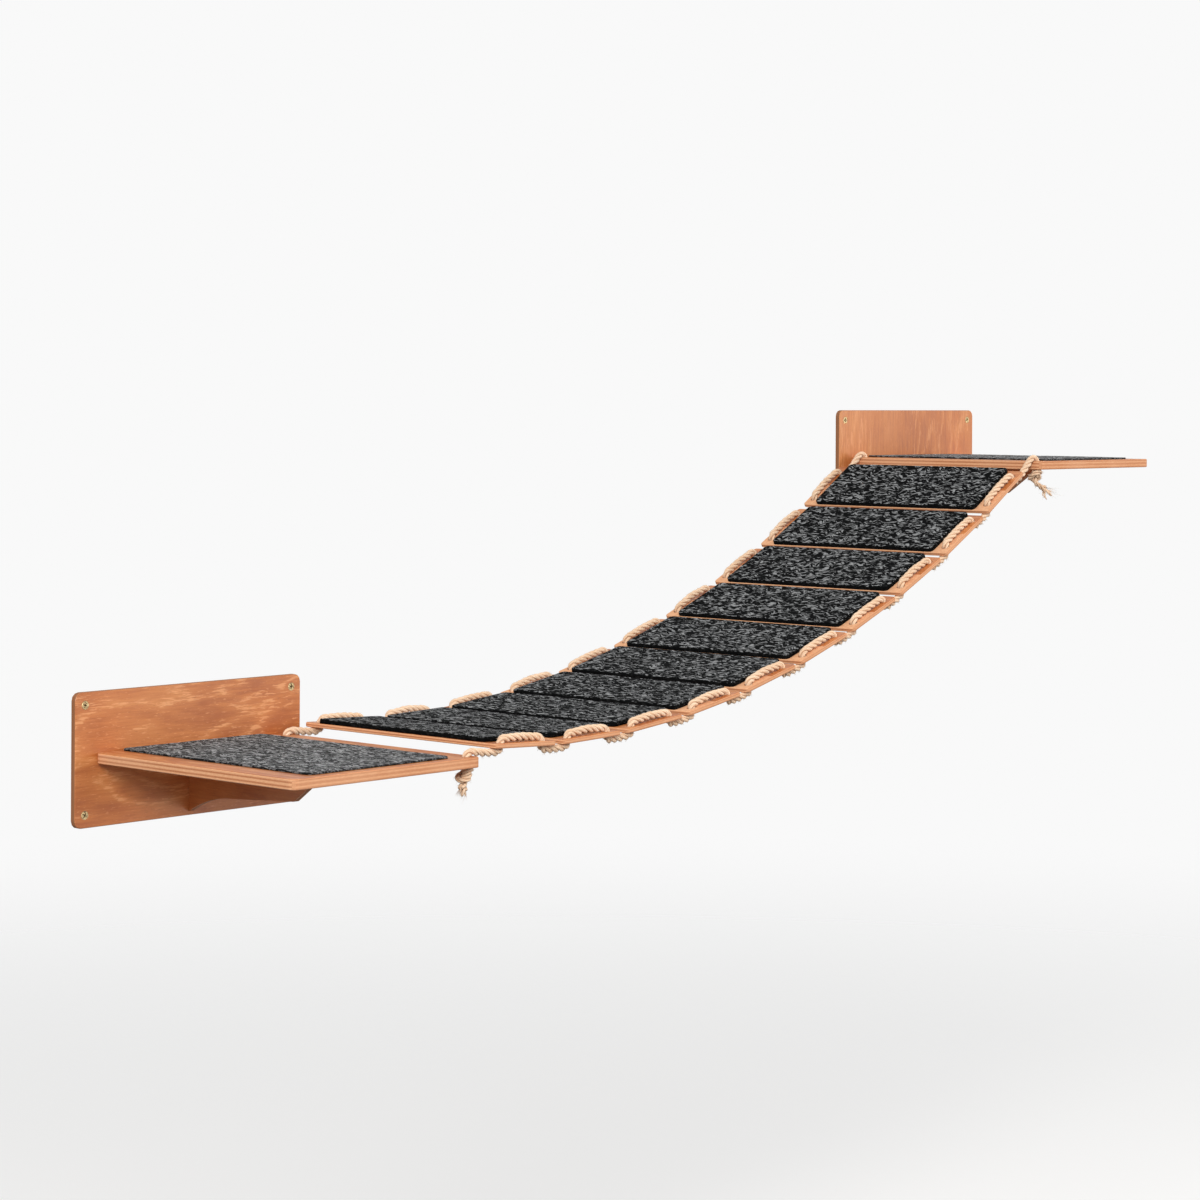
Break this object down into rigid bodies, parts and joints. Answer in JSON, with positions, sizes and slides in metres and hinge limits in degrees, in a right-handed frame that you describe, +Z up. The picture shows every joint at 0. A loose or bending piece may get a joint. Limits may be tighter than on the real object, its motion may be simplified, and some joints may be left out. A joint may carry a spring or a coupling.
{
  "type": "cat wall bridge",
  "caption": "Plywood rope bridge for cats: felted slats laced on ropes, hung in a curve between a lower and a higher wall shelf.",
  "frame": {"origin": "the middle of the lower shelf's back plate, on its back face, which lies against the wall", "axes": "+X along the wall from the lower shelf to the upper one, +Y into the wall, +Z up"},
  "size_m": [1.5379, 0.3133, 0.4185],
  "materials": {
    "stained_plywood": "satin stain and lacquer on birch plywood, the layers showing on the edges",
    "charcoal_felt": "charcoal needle felt with light grey fibres",
    "jute_rope": "twisted natural jute, slightly hairy",
    "brass_screw": "yellow passivated countersunk wood screw",
    "zinc_screw": "zinc-plated countersunk wood screw"
  },
  "bodies": {
    "shelves": {"lower_back_plate": "stained_plywood", "lower_shelf_board": "stained_plywood", "lower_gusset": "stained_plywood", "lower_shelf_felt": "charcoal_felt", "lower_wall_screw_1": "brass_screw", "lower_wall_screw_2": "brass_screw", "lower_wall_screw_3": "brass_screw", "lower_wall_screw_4": "brass_screw", "lower_joint_screw_1": "zinc_screw", "lower_joint_screw_2": "zinc_screw", "lower_joint_screw_3": "zinc_screw", "lower_joint_screw_4": "zinc_screw", "lower_joint_screw_5": "zinc_screw", "lower_joint_screw_6": "zinc_screw", "upper_back_plate": "stained_plywood", "upper_shelf_board": "stained_plywood", "upper_gusset": "stained_plywood", "upper_shelf_felt": "charcoal_felt", "upper_wall_screw_1": "brass_screw", "upper_wall_screw_2": "brass_screw", "upper_wall_screw_3": "brass_screw", "upper_wall_screw_4": "brass_screw", "upper_joint_screw_1": "zinc_screw", "upper_joint_screw_2": "zinc_screw", "upper_joint_screw_3": "zinc_screw", "upper_joint_screw_4": "zinc_screw", "upper_joint_screw_5": "zinc_screw", "upper_joint_screw_6": "zinc_screw", "front_rope": "jute_rope", "rear_rope": "jute_rope"},
    "slat_01": {"slat_01": "stained_plywood", "slat_felt_01": "charcoal_felt"},
    "slat_02": {"slat_02": "stained_plywood", "slat_felt_02": "charcoal_felt"},
    "slat_03": {"slat_03": "stained_plywood", "slat_felt_03": "charcoal_felt"},
    "slat_04": {"slat_04": "stained_plywood", "slat_felt_04": "charcoal_felt"},
    "slat_05": {"slat_05": "stained_plywood", "slat_felt_05": "charcoal_felt"},
    "slat_06": {"slat_06": "stained_plywood", "slat_felt_06": "charcoal_felt"},
    "slat_07": {"slat_07": "stained_plywood", "slat_felt_07": "charcoal_felt"},
    "slat_08": {"slat_08": "stained_plywood", "slat_felt_08": "charcoal_felt"},
    "slat_09": {"slat_09": "stained_plywood", "slat_felt_09": "charcoal_felt"},
    "slat_10": {"slat_10": "stained_plywood", "slat_felt_10": "charcoal_felt"}
  },
  "joints": [
    {"name": "slat_01_hinge", "type": "hinge", "parent": "shelves", "child": "slat_01", "pos_m": [0.1445, -0.1563, 0.0078], "axis": [0, -1, 0], "range_deg": [-5, 5], "stiffness_Nm_per_rad": 1.316, "springref_deg": 57.3, "deforming": ["front_rope", "rear_rope"]},
    {"name": "slat_02_hinge", "type": "hinge", "parent": "slat_01", "child": "slat_02", "pos_m": [0.2444, -0.1563, 0.0034], "axis": [0, -1, 0], "range_deg": [-2, 2], "stiffness_Nm_per_rad": 0.839, "springref_deg": 57.24, "deforming": ["front_rope", "rear_rope"]},
    {"name": "slat_03_hinge", "type": "hinge", "parent": "slat_02", "child": "slat_03", "pos_m": [0.34436, -0.1563, 0.00645], "axis": [0, -1, 0], "range_deg": [-3.2, 3.2], "stiffness_Nm_per_rad": 0.468, "springref_deg": 57.24, "deforming": ["front_rope", "rear_rope"]},
    {"name": "slat_04_hinge", "type": "hinge", "parent": "slat_03", "child": "slat_04", "pos_m": [0.44381, -0.1563, 0.0169], "axis": [0, -1, 0], "range_deg": [-3.2, 3.2], "stiffness_Nm_per_rad": 0.205, "springref_deg": 57.24, "deforming": ["front_rope", "rear_rope"]},
    {"name": "slat_05_hinge", "type": "hinge", "parent": "slat_04", "child": "slat_05", "pos_m": [0.54224, -0.1563, 0.03456], "axis": [0, -1, 0], "range_deg": [-2, 2], "stiffness_Nm_per_rad": 0.049, "springref_deg": 57.87, "deforming": ["front_rope", "rear_rope"]},
    {"name": "slat_10_hinge", "type": "hinge", "parent": "shelves", "child": "slat_10", "pos_m": [1.08945, -0.1563, 0.27228], "axis": [0, -1, 0], "range_deg": [-5.6, 5.6], "stiffness_Nm_per_rad": 1.184, "springref_deg": -57.3, "deforming": ["front_rope", "rear_rope"]},
    {"name": "slat_09_hinge", "type": "hinge", "parent": "slat_10", "child": "slat_09", "pos_m": [1.0047, -0.1563, 0.21919], "axis": [0, -1, 0], "range_deg": [-2.1, 2.1], "stiffness_Nm_per_rad": 0.775, "springref_deg": -57.3, "deforming": ["front_rope", "rear_rope"]},
    {"name": "slat_08_hinge", "type": "hinge", "parent": "slat_09", "child": "slat_08", "pos_m": [0.91716, -0.1563, 0.17086], "axis": [0, -1, 0], "range_deg": [-3.3, 3.3], "stiffness_Nm_per_rad": 0.446, "springref_deg": -57.3, "deforming": ["front_rope", "rear_rope"]},
    {"name": "slat_07_hinge", "type": "hinge", "parent": "slat_08", "child": "slat_07", "pos_m": [0.82692, -0.1563, 0.12777], "axis": [0, -1, 0], "range_deg": [-3.3, 3.3], "stiffness_Nm_per_rad": 0.203, "springref_deg": -57.41, "deforming": ["front_rope", "rear_rope"]},
    {"name": "slat_06_hinge", "type": "hinge", "parent": "slat_07", "child": "slat_06", "pos_m": [0.73416, -0.1563, 0.09039], "axis": [0, -1, 0], "range_deg": [-2.1, 2.1], "stiffness_Nm_per_rad": 0.053, "springref_deg": -57.12, "deforming": ["front_rope", "rear_rope"]}
  ],
  "couplings": [
    {"joint": "slat_02_hinge", "follows": "slat_01_hinge", "ratio": -0.386},
    {"joint": "slat_03_hinge", "follows": "slat_01_hinge", "ratio": -0.632},
    {"joint": "slat_04_hinge", "follows": "slat_01_hinge", "ratio": -0.632},
    {"joint": "slat_05_hinge", "follows": "slat_01_hinge", "ratio": -0.386},
    {"joint": "slat_10_hinge", "follows": "slat_01_hinge", "ratio": 1.11},
    {"joint": "slat_09_hinge", "follows": "slat_01_hinge", "ratio": -0.411},
    {"joint": "slat_08_hinge", "follows": "slat_01_hinge", "ratio": -0.657},
    {"joint": "slat_07_hinge", "follows": "slat_01_hinge", "ratio": -0.657},
    {"joint": "slat_06_hinge", "follows": "slat_01_hinge", "ratio": -0.411}
  ]
}
